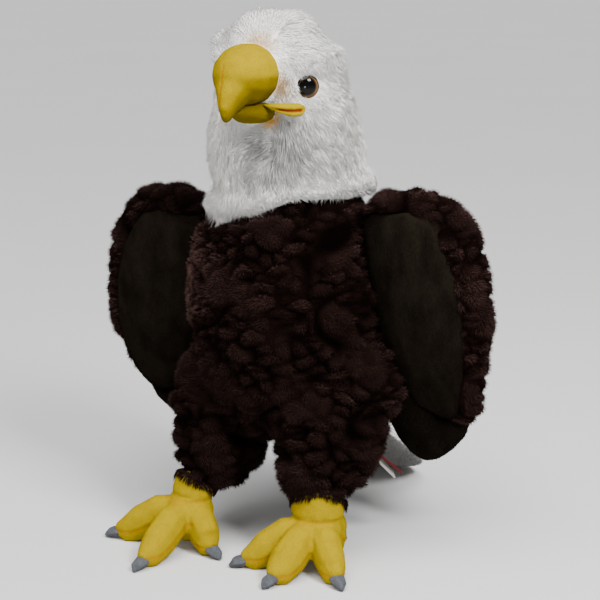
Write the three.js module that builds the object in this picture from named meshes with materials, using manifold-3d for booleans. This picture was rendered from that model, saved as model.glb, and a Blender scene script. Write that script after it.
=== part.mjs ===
// A stuffed plush toy: a bald eagle that stands on two puffed feet and the tip of its tail, its wings half
// open. Every mesh is one sewn, moulded or felt piece, closed, with its coat of pile included in its outline.
// Millimetres, +Z up. The bird faces -Y, so its left side is +X. The origin is the middle of its box's base.
import * as THREE from 'three';
import { LoftGeometry } from 'three/addons/geometries/LoftGeometry.js';
import { mergeVertices } from 'three/addons/utils/BufferGeometryUtils.js';
import Module from 'manifold-3d';

// ---- Driving dimensions ----
const GAP = 0.3; // air between two pieces that touch
const FLOOR_Z = 1.5; // the toes and the tail's end are pressed flat at this level
const TRUNK_Y = 43; // the body's upright axis, behind the ankles
const CROTCH_Z = 84;
const COLLAR_Z = 264; // where the white collar's lower edge crosses the body's axis
const COLLAR_TILT = 9; // degrees: the hood sits askew, higher on the bird's left side
const CHIN_Z = 324; // where the head and the neck part
const CROWN_Z = 404.5;
const FACE_Y = 39; // the head's upright axis at the height of the eyes
const EYE_RADIUS = 7.5;
const FACE_TURN = 3; // degrees: the face looks a little to the bird's right
const EYE_HEIGHT = 359.5;
const EYE_TURN = 54.5; // degrees from the middle of the face to each eye
const EYE_OUT = 45.5; // from the head's axis to the eye's centre
const SEAM_Z = 41; // where the ankle is sewn to the foot
const CLAW_REACH = 10; // how far a claw stands out of its toe
const LINING_SLIDE = [-13, -15, -8]; // sets how much of a wing's front its smooth lining covers
const LABEL_THICKNESS = 0.8;

// The two legs stand a little differently, as a soft toy's do. Places are for the bird's left side, and are
// mirrored for its right. Toes run from the middle of the foot, each with its turn from straight ahead, in
// degrees towards the bird's outer side, its reach, the height of its end's axis and its end's half-width.
const LEGS = {
  left: {
    side: 1,
    thigh: {
      spine: [[58, 50, 171], [44.5, 27, 98], [47, 6, 46]],
      sizes: [[38, 46], [45, 50], [47.5, 50], [42, 41], [35, 31]],
    },
    ankle: { cuff: [50, 3, 62], seam: [50, -3, 34], wide: 20, deep: 17 },
    toes: {
      inner: [-59, 56, 9, 10],
      middle: [-15, 52, 9, 12],
      outer: [45, 44, 9, 10],
      hind: [174, 34, 13, 11],
    },
  },
  right: {
    side: -1,
    thigh: {
      spine: [[44, 34, 158], [46, 26, 95], [46, 14, 43]],
      sizes: [[32, 38], [37, 42], [38, 43], [36, 42], [31, 38]],
    },
    ankle: { cuff: [51, 2, 62], seam: [56, -8, 34], wide: 16, deep: 15 },
    toes: {
      inner: [-61, 33, 9, 10],
      middle: [9, 59, 9, 10.5],
      outer: [76, 59, 9, 9.5],
      hind: [162, 34, 13, 11],
    },
  },
};

// Each wing hangs from its shoulder, out to the side and back: a fat pillow with a flatter one as its tip.
const WINGS = {
  left: {
    side: 1,
    arm: [[99, 50, 282], [108, 52, 240], [117, 57, 195], [122, 66, 150], [140, 74, 105]],
    tip: [[114, 72, 145], [105, 79, 104], [101, 90, 62]],
  },
  right: {
    side: -1,
    arm: [[96, 54, 268], [104, 54, 232], [114, 59, 190], [121, 68, 145], [131, 77, 94]],
    tip: [[116, 74, 145], [108, 84, 102], [97, 95, 62]],
  },
};

// The rolled lips run out from under the beak round the face. The right one is tucked deeper into the pile.
const LIPS = {
  left: [[18.5, -11, 347], [26.5, -9, 345.5], [33.5, -5.5, 344], [40, 3, 344.5]],
  right: [[18.5, -10, 347], [24.5, -7, 345.5], [30, -3, 344], [34, 3, 344.5]],
};

// Two blank labels are sewn into the back seam of the left thigh.
const LABELS = {
  white: { from: [62, 48, 86], to: [84, 69, 54], wide: 10 },
  red: { from: [62, 47, 88], to: [89, 72, 56], wide: 5 },
};

// ---- Materials ----
const paint = (color, roughness, metalness = 0) =>
  new THREE.MeshStandardMaterial({ color, roughness, metalness });
const MATERIALS = {
  whitePile: paint(0xe6e3dc, 0.95),
  brownPile: paint(0x33201c, 0.95),
  lining: paint(0x241d17, 0.9),
  yellowPlush: paint(0xd9ae2e, 0.9),
  greyFelt: paint(0x6a6e74, 0.95),
  eyePlastic: paint(0x120d0a, 0.1),
  labelWhite: paint(0xd8d6cf, 0.7),
  labelRed: paint(0xb8331c, 0.7),
};

// ---- Shape tools ----
const wasm = await Module();
wasm.setup();

// Turns a closed geometry into a solid that can be joined and cut.
function solidOf(geometry) {
  const bare = new THREE.BufferGeometry();
  bare.setAttribute('position', geometry.getAttribute('position'));
  bare.setIndex(geometry.getIndex());
  const merged = mergeVertices(bare, 1e-4);
  const vertProperties = new Float32Array(merged.attributes.position.array);
  const triVerts = new Uint32Array(merged.index.array);
  return new wasm.Manifold(new wasm.Mesh({ numProp: 3, vertProperties, triVerts }));
}

// Turns a solid back into a geometry that three.js can draw.
function geometryOf(solid) {
  const mesh = solid.getMesh();
  const geometry = new THREE.BufferGeometry();
  geometry.setAttribute('position', new THREE.BufferAttribute(mesh.vertProperties, 3));
  geometry.setIndex(new THREE.BufferAttribute(mesh.triVerts, 1));
  geometry.computeVertexNormals();
  return geometry;
}

const joined = (solids) => solids.reduce((whole, piece) => whole.add(piece));
const less = (solid, cutters) => cutters.reduce((left, cutter) => left.subtract(cutter), solid);
const mirrored = (side, [x, y, z]) => [side * x, y, z];

// A stuffed form: oval rings along a smooth spine, closing to a rounded end at both ends.
// sizes are [half-width, half-depth] pairs spread evenly along the spine, and side is the way its width runs.
// fullness is for the two ends: 2 gives an egg's end, and more a blunter one. grow swells the whole form.
function stuffed({ spine, sizes, side = [1, 0, 0], fullness = [2, 2], around = 20, along = 12, grow = 0 }) {
  const path = new THREE.CatmullRomCurve3(spine.map((point) => new THREE.Vector3(...point)));
  const girth = new THREE.CatmullRomCurve3(sizes.map(([wide, deep]) => new THREE.Vector3(wide, deep, 0)));
  const length = path.getLength();
  const rings = [];
  for (let i = 0; i <= along; i += 1) {
    const turn = (Math.PI * (i + 0.35)) / (along + 0.7);
    const place = (1 - Math.cos(turn)) / 2;
    const blunt = fullness[place < 0.5 ? 0 : 1];
    const closing = (1 - Math.abs(Math.cos(turn)) ** blunt) ** (1 / blunt);
    const centre = path.getPointAt(place);
    const ahead = path.getTangentAt(place);
    centre.addScaledVector(ahead, (2 * place - 1) * grow);
    const across = new THREE.Vector3(...side).projectOnPlane(ahead).normalize();
    const up = new THREE.Vector3().crossVectors(ahead, across);
    const { x: wide, y: deep } = girth.getPoint(place);
    const ring = [];
    for (let j = 0; j < around; j += 1) {
      const angle = (2 * Math.PI * j) / around;
      ring.push(
        centre
          .clone()
          .addScaledVector(across, (wide * closing + grow) * Math.cos(angle))
          .addScaledVector(up, (deep * closing + grow) * Math.sin(angle)),
      );
    }
    rings.push(ring);
  }
  return solidOf(new LoftGeometry(rings, { capStart: true, capEnd: true }));
}

// Everything above a plane when up is 1, or below it when up is -1. tilt raises it towards the bird's left.
function slab(z, up, tilt = 0) {
  const size = 800;
  const box = new THREE.BoxGeometry(size, size, size);
  box.translate(0, 0, (up * size) / 2);
  box.rotateY(-THREE.MathUtils.degToRad(tilt));
  box.translate(0, TRUNK_Y, z);
  return solidOf(box);
}
const FLOOR = slab(FLOOR_Z, -1);

// ---- Body ----
function trunk(grow) {
  return stuffed({
    spine: [[0, 28, CROTCH_Z], [0, 36, 145], [0, TRUNK_Y, 210], [0, TRUNK_Y + 4, 335]],
    sizes: [[60, 58], [72, 68], [75, 70], [71, 68], [68, 64], [64, 60]],
    fullness: [2.4, 2.4],
    around: 22,
    along: 11,
    grow,
  });
}

function thigh(leg, grow) {
  const spine = leg.thigh.spine.map((point) => mirrored(leg.side, point));
  return stuffed({ spine, sizes: leg.thigh.sizes, fullness: [3, 3.6], around: 18, along: 8, grow });
}

// The head and the neck are sewn as one white form, which leans forward to the crown.
function whiteHood() {
  const form = stuffed({
    spine: [[0, 54, 215], [1, 56, 270], [0, 47, 318], [0, FACE_Y - 2, EYE_HEIGHT], [0, 10, CROWN_Z]],
    sizes: [[70, 70], [71, 73], [63, 66], [59, 61], [57, 55], [54, 51], [51, 49], [50, 45]],
    fullness: [3, 3],
    around: 22,
    along: 12,
  });
  return joined([form, brow(1), brow(-1)]);
}

// ---- Face ----
// Turns a piece of the face about the head's axis to where the bird looks.
function faced(solid) {
  return solid.translate(0, -FACE_Y, 0).rotate(0, 0, -FACE_TURN).translate(0, FACE_Y, 0);
}

// A ridge of pile from the top of the beak over one eye to the back corner of the head.
function brow(side) {
  const spine = [[12, -4, 379], [30, 5, 378], [42, 26, 380], [41, 46, 382]];
  const ridge = stuffed({
    spine: spine.map((point) => mirrored(side, point)),
    sizes: [[8, 8], [10, 9], [10, 10], [8, 9]],
    side: [0, 0, 1],
    around: 8,
    along: 5,
  });
  return faced(ridge);
}

// The upper beak is a stuffed ball at the face that runs on into a hook.
function beakUpper(grow) {
  const ball = stuffed({
    spine: [[0, 19, 367], [0, -9.5, 368], [0, -38.5, 368]],
    sizes: [[20, 21], [23, 22], [18, 19]],
    fullness: [2.2, 2.4],
    around: 14,
    along: 7,
    grow,
  });
  const hook = stuffed({
    spine: [[0, -12, 380], [0, -23, 364], [0, -29.5, 356], [0, -35, 349.5], [0, -39.5, 337]],
    sizes: [[17, 17], [18.5, 17.5], [16.5, 16], [11.6, 13], [7.2, 10], [5.6, 8]],
    fullness: [2.2, 2.2],
    around: 12,
    along: 8,
    grow,
  });
  return faced(ball.add(hook));
}

function beakLower(grow) {
  const jaw = stuffed({
    spine: [[0, 12, 341], [0, -8, 341.5], [0, -25.5, 343]],
    sizes: [[14, 9], [14, 9], [9, 5.5]],
    fullness: [2.2, 2.2],
    around: 12,
    along: 5,
    grow,
  });
  return faced(jaw);
}

// The rolled lip at one corner of the mouth, blunt at its outer end.
function gape(name, grow) {
  const lip = stuffed({
    spine: LIPS[name].map((point) => mirrored(WINGS[name].side, point)),
    sizes: [[3, 3], [4, 4], [4.6, 4.6], [5, 4.6]],
    side: [0, 0, 1],
    fullness: [2, 3],
    around: 8,
    along: 5,
    grow,
  });
  return faced(lip);
}

function eye(side, grow) {
  const turn = THREE.MathUtils.degToRad(EYE_TURN);
  const ball = new THREE.SphereGeometry(EYE_RADIUS + grow, 12, 6);
  ball.translate(side * EYE_OUT * Math.sin(turn), FACE_Y - EYE_OUT * Math.cos(turn), EYE_HEIGHT);
  return faced(solidOf(ball));
}

// ---- Wings ----
function wingArm(wing, grow) {
  const spine = wing.arm.map((point) => mirrored(wing.side, point));
  const sizes = [[50, 24], [50, 27], [50, 28], [44, 26], [32, 18]];
  return stuffed({ spine, sizes, fullness: [4, 2.5], around: 16, along: 9, grow });
}

// The space that a wing's smooth lining takes: the arm's own form, slid forwards and towards the body.
function liningSpace(wing, grow) {
  const [x, y, z] = mirrored(wing.side, LINING_SLIDE);
  return wingArm(wing, grow).translate(x, y, z);
}

function wingTip(wing, grow) {
  const spine = wing.tip.map((point) => mirrored(wing.side, point));
  const sizes = [[35, 14], [34, 13], [20, 10]];
  return stuffed({ spine, sizes, fullness: [2.2, 2.2], around: 14, along: 7, grow });
}

// ---- Tail ----
function tail(grow) {
  return stuffed({
    spine: [[0, 76, 116], [0, 128, 72], [0, 176, 33], [0, 232, 3]],
    sizes: [[34, 20], [48, 15], [60, 11], [56, 12]],
    fullness: [3.4, 3.4],
    around: 18,
    along: 9,
    grow,
  });
}

// A blank label: a thin strip from a seam out to its free end.
function label({ from, to, wide }) {
  const start = new THREE.Vector3(...from);
  const run = new THREE.Vector3(...to).sub(start);
  const strip = new THREE.BoxGeometry(run.length(), wide, LABEL_THICKNESS);
  const turn = new THREE.Quaternion().setFromUnitVectors(new THREE.Vector3(1, 0, 0), run.clone().normalize());
  strip.applyQuaternion(turn);
  strip.translate(...start.addScaledVector(run, 0.5).toArray());
  return solidOf(strip);
}

// ---- Legs ----
function ankle(leg, grow) {
  const { cuff, seam, wide, deep } = leg.ankle;
  const inside = [cuff[0], cuff[1] + 5, cuff[2] + 28];
  const spine = [seam, cuff, inside].map((point) => mirrored(leg.side, point));
  const sizes = [[wide, deep], [wide, deep]];
  return stuffed({ spine, sizes, fullness: [5, 5], around: 14, along: 5, grow });
}

// The point at a distance from the middle of a foot, at a turn from straight ahead.
function fromMiddle(leg, turn, reach, z) {
  const angle = THREE.MathUtils.degToRad(turn);
  const [x, y] = leg.ankle.seam;
  return [leg.side * (x + reach * Math.sin(angle)), y - reach * Math.cos(angle), z];
}

// The level way across a toe that points at a turn from straight ahead.
function acrossToe(leg, turn) {
  const angle = THREE.MathUtils.degToRad(turn);
  return [leg.side * Math.cos(angle), Math.sin(angle), 0];
}

// A toe slopes down from the foot's arch to a small flat under its end.
function toe(leg, [turn, reach, height, wide]) {
  return stuffed({
    spine: [
      fromMiddle(leg, turn, 0, 31),
      fromMiddle(leg, turn, reach * 0.42, height / 2 + 20),
      fromMiddle(leg, turn, reach * 0.78, height + 1.8),
      fromMiddle(leg, turn, reach, height),
    ],
    sizes: [[11, 14], [11, 13.5], [wide, height + 4.5], [wide - 1, height + 2]],
    side: acrossToe(leg, turn),
    fullness: [2.8, 2.8],
    around: 10,
    along: 5,
  });
}

function foot(leg) {
  const [x, y] = leg.ankle.seam;
  const pad = stuffed({
    spine: [[x, y, 6], [x, y, 24], [x, y, SEAM_Z + 6]].map((point) => mirrored(leg.side, point)),
    sizes: [[13, 13], [18, 17], [leg.ankle.wide + 1, leg.ankle.deep + 1]],
    fullness: [2.8, 2.8],
    around: 12,
    along: 5,
  });
  const toes = Object.values(leg.toes).map((place) => toe(leg, place));
  return less(joined([pad, ...toes]), [FLOOR]);
}

function claw(leg, [turn, reach, height]) {
  return stuffed({
    spine: [
      fromMiddle(leg, turn, reach - 6, height - 1),
      fromMiddle(leg, turn, reach + 3, height - 2),
      fromMiddle(leg, turn, reach + CLAW_REACH, height - 6),
    ],
    sizes: [[7, 5], [6, 4], [2.4, 1.8]],
    side: acrossToe(leg, turn),
    around: 6,
    along: 3,
  });
}

// ---- Assembly ----
const eagle = new THREE.Group();

function add(name, solid, material) {
  const mesh = new THREE.Mesh(geometryOf(solid), material);
  mesh.name = name;
  eagle.add(mesh);
}

const legs = Object.entries(LEGS);
const wings = Object.entries(WINGS);
const underCollar = slab(COLLAR_Z, -1, COLLAR_TILT);
const overTrunk = slab(COLLAR_Z - GAP, 1, COLLAR_TILT);
const overChin = slab(CHIN_Z, 1);
const underChin = slab(CHIN_Z - GAP, -1);

const hood = whiteHood();
const mouthCutters = [beakUpper(GAP), beakLower(GAP), gape('left', GAP), gape('right', GAP)];
const faceCutters = [...mouthCutters, eye(1, GAP), eye(-1, GAP)];
const collar = less(hood.intersect(underChin), [underCollar, ...faceCutters]);
add('head', less(hood.intersect(overChin), faceCutters), MATERIALS.whitePile);
add('neck', collar, MATERIALS.whitePile);
add('trunk', less(trunk(0), [overTrunk]), MATERIALS.brownPile);

legs.forEach(([name, leg]) => {
  const shin = ankle(leg, 0).intersect(slab(SEAM_Z, 1));
  add(`thigh_${name}`, less(thigh(leg, 0), [trunk(GAP), ankle(leg, GAP)]), MATERIALS.brownPile);
  add(`ankle_${name}`, less(shin, [trunk(GAP)]), MATERIALS.yellowPlush);
  const whole = foot(leg);
  add(`foot_${name}`, less(whole, [slab(SEAM_Z - GAP, 1), thigh(leg, GAP)]), MATERIALS.yellowPlush);
  Object.entries(leg.toes).forEach(([toeName, place]) => {
    add(`claw_${name}_${toeName}`, less(claw(leg, place), [whole]), MATERIALS.greyFelt);
  });
});

const thighCutters = legs.map(([, leg]) => thigh(leg, GAP));
wings.forEach(([name, wing]) => {
  const arm = less(wingArm(wing, 0), [trunk(GAP), hood, ...thighCutters]);
  add(`wing_${name}_arm`, less(arm, [liningSpace(wing, GAP)]), MATERIALS.brownPile);
  add(`wing_${name}_lining`, arm.intersect(liningSpace(wing, 0)), MATERIALS.lining);
  const tip = less(wingTip(wing, 0), [wingArm(wing, GAP), trunk(GAP), ...thighCutters]);
  add(`wing_${name}_tip`, tip, MATERIALS.lining);
});
add('tail', less(tail(0), [trunk(GAP), FLOOR, ...thighCutters]), MATERIALS.whitePile);
add('label_white', less(label(LABELS.white), thighCutters), MATERIALS.labelWhite);
add('label_red', less(label(LABELS.red), thighCutters), MATERIALS.labelRed);

add('beak_upper', beakUpper(0), MATERIALS.yellowPlush);
add('beak_lower', less(beakLower(0), [beakUpper(GAP)]), MATERIALS.yellowPlush);
wings.forEach(([name, { side }]) => {
  add(`gape_${name}`, less(gape(name, 0), [beakUpper(GAP), beakLower(GAP)]), MATERIALS.yellowPlush);
  add(`eye_${name}`, eye(side, 0), MATERIALS.eyePlastic);
});

const box = new THREE.Box3().setFromObject(eagle);
eagle.position.set(-(box.min.x + box.max.x) / 2, -(box.min.y + box.max.y) / 2, -box.min.z);

export default eagle;
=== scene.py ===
import math

import bpy
import numpy as np
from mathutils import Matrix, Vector
from mathutils.bvhtree import BVHTree
from mathutils.kdtree import KDTree


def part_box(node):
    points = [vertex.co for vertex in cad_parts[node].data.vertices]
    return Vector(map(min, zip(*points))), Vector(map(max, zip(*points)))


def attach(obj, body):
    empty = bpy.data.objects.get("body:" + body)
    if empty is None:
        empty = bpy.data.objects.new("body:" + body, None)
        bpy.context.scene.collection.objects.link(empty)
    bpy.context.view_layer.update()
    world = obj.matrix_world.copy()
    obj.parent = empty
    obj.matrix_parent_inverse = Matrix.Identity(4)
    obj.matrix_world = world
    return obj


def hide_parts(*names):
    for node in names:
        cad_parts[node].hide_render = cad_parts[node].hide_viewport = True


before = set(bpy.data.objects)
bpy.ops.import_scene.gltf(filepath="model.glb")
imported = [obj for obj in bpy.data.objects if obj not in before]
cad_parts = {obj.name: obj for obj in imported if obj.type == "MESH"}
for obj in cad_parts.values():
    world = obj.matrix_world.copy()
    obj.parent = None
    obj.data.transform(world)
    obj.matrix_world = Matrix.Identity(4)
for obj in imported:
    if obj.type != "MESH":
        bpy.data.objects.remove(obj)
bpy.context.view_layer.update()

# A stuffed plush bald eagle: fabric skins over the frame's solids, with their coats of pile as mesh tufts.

bl_info = {
    "name": "Plush bald eagle",
    "version": (1, 0, 0),
    "blender": (4, 5, 0),
    "location": "3D View > Sidebar > Plush eagle",
    "description": "Dresses the frame of a stuffed eagle in plush, felt, ribbon and safety eyes",
    "category": "Object",
}

MM = 0.001
SIDES = {"left": 1, "right": -1}  # the bird's own sides, and the way each lies along x
TOES = ("inner", "middle", "outer", "hind")
DOWN = np.array([0.0, 0.0, -1.0])


def mm(x, y, z):
    """A place or a step given in millimetres."""
    return np.array([x, y, z]) * MM


def middle(node):
    """The middle of a CAD node's box."""
    low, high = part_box(node)
    return np.array((low + high) / 2)


# ---- Places taken from the frame ----
AXIS_X, AXIS_Y, _ = middle("trunk")  # the body's upright axis
COLLAR_TILT = math.radians(9)
COLLAR_HEIGHT = (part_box("neck")[0].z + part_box("trunk")[1].z) / 2
SEAM_OVERLAP = 20 * MM  # how far hood and body run on past their seam, one inside the other
# How far the collar's lower edge rises over its seam in mm, by the degrees from the front round to the left
COLLAR_RISE = ((-75, 7), (-30, 6.5), (0, 8), (15, 10.5), (30, 13), (45, 13), (75, 9.5), (95, 7), (125, 4.5))
BEAK_ROOT = middle("beak_upper") - mm(0, 0, 4)
BEAK_ROOT[1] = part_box("beak_upper")[1].y - 22 * MM
EYE_PLACES = {side: middle(f"eye_{side}") for side in SIDES}
SUNK = {"left": 0.0, "right": 2.2 * MM}  # the right side's eye and lip are sewn in deeper
FACE_NODES = ("beak_upper", "beak_lower", "gape_left", "gape_right", "eye_left", "eye_right")


# ---- Sizes and colours that a user would change ----
def length(name, description, default):
    return bpy.props.FloatProperty(
        name=name, description=description, default=default, min=0.0, subtype="DISTANCE", unit="LENGTH")


def colour(name, description, default):
    return bpy.props.FloatVectorProperty(
        name=name, description=description, default=default, size=3, min=0.0, max=1.0, subtype="COLOR")


class EagleSizes(bpy.types.PropertyGroup):
    hood_pile: length("Hood pile", "Length of the white pile on the head and neck", 16 * MM)
    hood_depth: length("Hood depth", "How far the white pile stands off its cloth", 6 * MM)
    hood_spacing: length("Hood spacing", "Distance between two locks of the white pile", 0.9 * MM)
    body_pile: length("Body pile", "Length of the brown pile", 3.1 * MM)
    body_depth: length("Body depth", "How far the brown pile stands off its cloth", 3.5 * MM)
    body_spacing: length("Body spacing", "Distance between two tufts of the brown pile", 1.0 * MM)
    clump: length("Clump", "Size of a crushed clump of the brown pile", 14 * MM)
    lining_pile: length("Lining pile", "Length of the wing lining's short pile", 2.2 * MM)
    tail_pile: length("Tail pile", "Length of the tail's short pile", 4 * MM)
    voxel: length("Cloth grain", "Size of the faces of the large cloth pieces", 2.5 * MM)


class EagleColours(bpy.types.PropertyGroup):
    white: colour("White pile", "Head and neck", (0.90, 0.885, 0.85))
    blush: colour("Blush", "Tint of the white pile round the beak", (0.52, 0.29, 0.06))
    brown: colour("Brown pile", "Body, thighs and wing backs", (0.0073, 0.0037, 0.0031))
    brown_tip: colour("Brown tips", "Ends of the brown pile", (0.0470, 0.0254, 0.0222))
    lining: colour("Lining", "Smooth plush of the wings", (0.0066, 0.0050, 0.0035))
    yellow: colour("Yellow plush", "Beak and feet", (0.30, 0.215, 0.0))
    # painted shade: the colour laid into the seams of the yellow plush
    seam_shade: colour("Seams", "Shade in the seams of the yellow plush", (0.36, 0.135, 0.001))
    mouth: colour("Mouth", "Inside of the rolled lips", (0.22, 0.03, 0.001))
    felt: colour("Felt", "Claws", (0.072, 0.076, 0.084))
    amber: colour("Iris", "Ring of the safety eyes", (0.10, 0.052, 0.020))
    # painted shade: the white label is greyed, and the red label's deep red is darkened further
    label: colour("White label", "Blank ribbon", (0.32, 0.31, 0.28))
    label_red: colour("Red label", "Blank ribbon", (0.075, 0.002, 0.002))


def sizes():
    return bpy.context.scene.eagle_sizes


def tint(name, strength=1.0):
    """One of the eagle's colours, as nodes take it."""
    return tuple(c * strength for c in getattr(bpy.context.scene.eagle_colours, name))


# ---- Making and shaping meshes ----
def only(*pieces):
    """Selects these pieces and nothing else, the first one active."""
    bpy.ops.object.select_all(action="DESELECT")
    for piece in pieces:
        piece.select_set(True)
    bpy.context.view_layer.objects.active = pieces[0]


def edited(piece, operation, **settings):
    """Runs one mesh operator on all of a piece."""
    only(piece)
    bpy.ops.object.mode_set(mode="EDIT")
    bpy.ops.mesh.select_all(action="SELECT")
    operation(**settings)
    bpy.ops.object.mode_set(mode="OBJECT")


def modified(piece, kind, **settings):
    """Adds one modifier, sets it and applies it."""
    only(piece)
    bpy.ops.object.modifier_add(type=kind)
    modifier = piece.modifiers[-1]
    for name, value in settings.items():
        setattr(modifier, name, value)
    bpy.ops.object.modifier_apply(modifier=modifier.name)


def copy_of(name, *nodes):
    """A new piece with the faces of these CAD nodes, each one's loose triangles merged."""
    copies = [bpy.data.objects.new(name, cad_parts[node].data.copy()) for node in nodes]
    for piece in copies:
        piece.data.materials.clear()
        bpy.context.scene.collection.objects.link(piece)
    only(*copies)
    if len(copies) > 1:
        bpy.ops.object.join()
    piece = copies[0]
    piece.name = name
    edited(piece, bpy.ops.mesh.remove_doubles, threshold=0.01 * MM)
    return piece


def sewn(name, *nodes, voxel, smoothing=8, swell=0.6 * MM):
    """One smooth closed skin round these CAD nodes."""
    piece = copy_of(name, *nodes)
    modified(piece, "DISPLACE", strength=swell, mid_level=0.0)
    modified(piece, "REMESH", mode="VOXEL", voxel_size=voxel)
    modified(piece, "SMOOTH", factor=0.5, iterations=smoothing)
    return piece


def cut_past_seam(piece, way):
    """Cuts away what lies past the seam of hood and body, going down where way is 1 and up where it is -1."""
    away = Vector((math.sin(COLLAR_TILT), 0, -math.cos(COLLAR_TILT))) * way
    place = Vector((AXIS_X, AXIS_Y, COLLAR_HEIGHT)) + away * SEAM_OVERLAP
    edited(piece, bpy.ops.mesh.bisect, plane_co=place, plane_no=away, use_fill=True, clear_outer=True)


def values_of(data, name, width=3, kind=float):
    """One property of a mesh's points, triangles or loops, a row for each."""
    found = np.empty(len(data) * width, kind)
    data.foreach_get(name, found)
    return found.reshape(-1, width)


def points_of(piece):
    return values_of(piece.data.vertices, "co")


def normals_of(piece):
    return values_of(piece.data.vertex_normals, "vector")


def place_points(piece, points):
    piece.data.vertices.foreach_set("co", points.ravel())
    piece.data.update()


def pushed(piece, distances):
    """Moves each point of a piece along its normal."""
    place_points(piece, points_of(piece) + normals_of(piece) * distances[:, None])


def marked(piece, name, values):
    """Stores one number for each point of a piece, for its material to read."""
    layer = piece.data.attributes.new(name, "FLOAT", "POINT")
    layer.data.foreach_set("value", np.asarray(values, dtype=np.float32))


def finished(piece, material, slot, *replaced, fill=None):
    """Gives a piece its material and place in the frame. fill, how tightly a padded piece is stuffed, is not
    used.
    """
    piece.data.materials.clear()
    piece.data.materials.append(material)
    only(piece)
    bpy.ops.object.shade_smooth()
    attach(piece, "root")
    if replaced:
        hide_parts(*replaced)


# ---- Fields over a surface ----
def unit(vectors):
    return vectors / np.maximum(np.linalg.norm(vectors, axis=-1, keepdims=True), 1e-9)


def eased(values, low, high):
    """0 up to low, 1 from high on, smooth between them."""
    t = np.clip((values - low) / (high - low), 0, 1)
    return t * t * (3 - 2 * t)


def rising(values, low, high):
    """0 up to low mm, 1 from high mm on, for values in metres."""
    return eased(values, low * MM, high * MM)


def falling(values, low, high):
    """1 up to low mm, 0 from high mm on, for values in metres."""
    return 1 - rising(values, low, high)


def hill(values, width):
    """1 where values are 0, falling to 0 either side."""
    return np.exp(-((values / width) ** 2))


def bump(points, place, width):
    """1 at a place, falling to 0 well away from it."""
    return hill(np.linalg.norm(points - place, axis=1), width)


def along_surface(way, normals):
    """A way, or one for each normal, laid on the surface."""
    ways = np.broadcast_to(way, normals.shape)
    return unit(ways - normals * np.sum(ways * normals, axis=1, keepdims=True))


def turned(vectors, normals, angles):
    """Turns each vector about its normal."""
    return vectors * np.cos(angles)[:, None] + np.cross(normals, vectors) * np.sin(angles)[:, None]


def above_seam(points):
    """Height of each point over the tilted seam between hood and body."""
    across = points[:, 0] - AXIS_X
    return (points[:, 2] - COLLAR_HEIGHT) * math.cos(COLLAR_TILT) - across * math.sin(COLLAR_TILT)


def above_collar(points):
    """Height of each point over the collar's lower edge, which is hitched up at the front left."""
    angles, rises = zip(*COLLAR_RISE)
    turn = np.degrees(np.arctan2(points[:, 0] - AXIS_X, AXIS_Y - points[:, 1]))
    return above_seam(points) - np.interp(turn, angles, rises) * MM


def tree_of(mesh):
    return BVHTree.FromPolygons([v.co for v in mesh.vertices], [p.vertices for p in mesh.polygons])


def signed_distance(point, tree):
    """Distance from a point to a closed mesh, below zero inside it."""
    distance = tree.find_nearest(point)[3]
    touching = tree.find_nearest_range(point, distance + 0.01 * MM)
    facing = max(((point - place).dot(normal) for place, normal, _, _ in touching), key=abs, default=1)
    return distance if facing > 0 else -distance


def clearance(points, *nodes):
    """Distance from each point to the nearest of these CAD nodes, below zero inside and never over far."""
    far = 50 * MM
    nearest = np.full(len(points), far)
    for node in nodes:
        tree = tree_of(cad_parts[node].data)
        low, high = (np.array(corner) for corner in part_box(node))
        for i in np.flatnonzero(np.all((points > low - far) & (points < high + far), axis=1)):
            nearest[i] = min(nearest[i], signed_distance(Vector(points[i]), tree))
    return nearest


def from_eyes(points):
    """Distance from each point to the nearer eye."""
    return np.minimum(*(np.linalg.norm(points - place, axis=1) for place in EYE_PLACES.values()))


def wobble(points, size, seed):
    """A smooth random field from -1 to 1 whose bumps are about this size."""
    rng = np.random.default_rng(seed)
    total = np.zeros(len(points))
    waves = 7
    for _ in range(waves):
        direction = unit(rng.normal(size=3)) * (2 * math.pi / (size * rng.uniform(1.5, 3.0)))
        total += np.sin(points @ direction + rng.uniform(0, 2 * math.pi))
    return total / math.sqrt(waves)


# ---- Coats of pile ----
class Roots:
    """Places on a skin where tufts grow: points, normals and spots on the skin's unwrap."""

    def __init__(self, *fields):
        self.fields = fields
        self.points, self.normals, self.spots = fields

    def __len__(self):
        return len(self.points)

    def joined(self, more):
        return Roots(*(np.concatenate(pair) for pair in zip(self.fields, more.fields)))

    def where(self, chosen):
        return Roots(*(field[chosen] for field in self.fields))


def unwrapped(piece):
    """Gives a piece the map that its coat follows."""
    edited(piece, bpy.ops.uv.smart_project, angle_limit=math.radians(66), island_margin=0.004)
    piece.data.uv_layers.active.name = "OFBake"


CELL_PRIMES = np.array([73856093, 19349663, 83492791])  # they turn a cell's three indices into one key


def first_in_cells(places):
    """The first of these places in each cell of a grid of unit cubes."""
    keys = np.floor(places).astype(np.int64) @ CELL_PRIMES
    return np.unique(keys, return_index=True)[1]


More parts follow.
